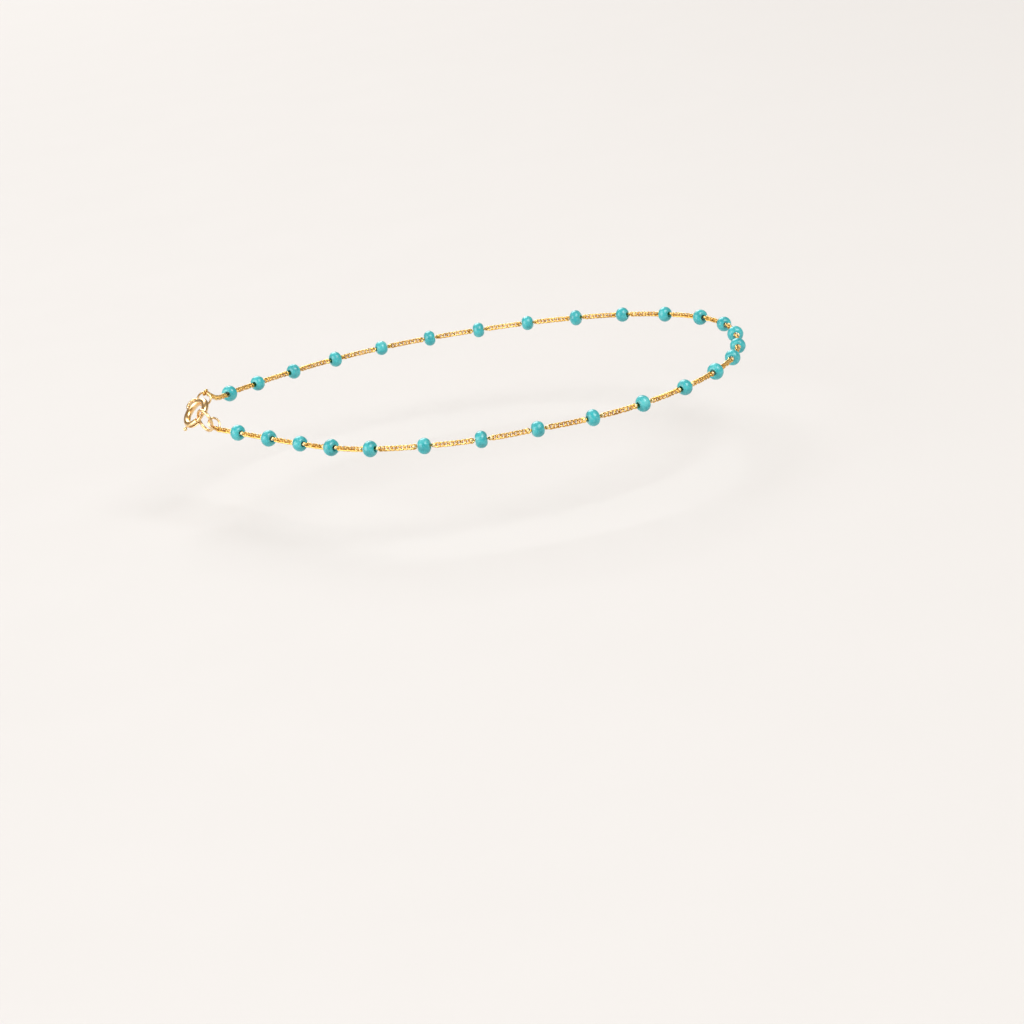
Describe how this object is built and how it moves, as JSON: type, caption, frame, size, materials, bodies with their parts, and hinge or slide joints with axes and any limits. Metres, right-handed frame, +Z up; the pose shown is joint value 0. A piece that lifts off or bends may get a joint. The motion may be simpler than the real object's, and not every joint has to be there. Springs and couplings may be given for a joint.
{
  "type": "chain anklet",
  "caption": "Fine gold chain anklet with small turquoise beads spaced along it and a spring ring clasp, in its worn loop.",
  "frame": {"origin": "the middle of the loop, on the ankle's axis, at the level of the string of beads", "axes": "+Z up along the ankle, +X to the front of the ankle, -Y to its outer side; the clasp is at the back, at -X"},
  "size_m": [0.0856, 0.0737, 0.0061],
  "materials": {
    "gold": "polished yellow gold",
    "turquoise": "natural turquoise, satin polish"
  },
  "bodies": {
    "anklet": {"clasp_ring": "gold", "large_ring": "gold", "small_ring": "gold", "eye_ring": "gold", "thin_ring": "gold", "chain": "gold", "bead_01": "turquoise", "bead_02": "turquoise", "bead_03": "turquoise", "bead_04": "turquoise", "bead_05": "turquoise", "bead_06": "turquoise", "bead_07": "turquoise", "bead_08": "turquoise", "bead_09": "turquoise", "bead_10": "turquoise", "bead_11": "turquoise", "bead_12": "turquoise", "bead_13": "turquoise", "bead_14": "turquoise", "bead_15": "turquoise", "bead_16": "turquoise", "bead_17": "turquoise", "bead_18": "turquoise", "bead_19": "turquoise", "bead_20": "turquoise", "bead_21": "turquoise", "bead_22": "turquoise", "bead_23": "turquoise", "bead_24": "turquoise", "bead_25": "turquoise", "bead_26": "turquoise", "bead_27": "turquoise", "bead_28": "turquoise"},
    "bolt": {"clasp_bolt": "gold"}
  },
  "joints": [
    {"name": "bolt_draw", "type": "hinge", "parent": "anklet", "child": "bolt", "pos_m": [-0.0411, 0.0005, 0.0018], "axis": [0.6088, 0.3639, -0.705], "range_deg": [0, 50], "stiffness_Nm_per_rad": 0.005, "springref_deg": -17.19}
  ]
}
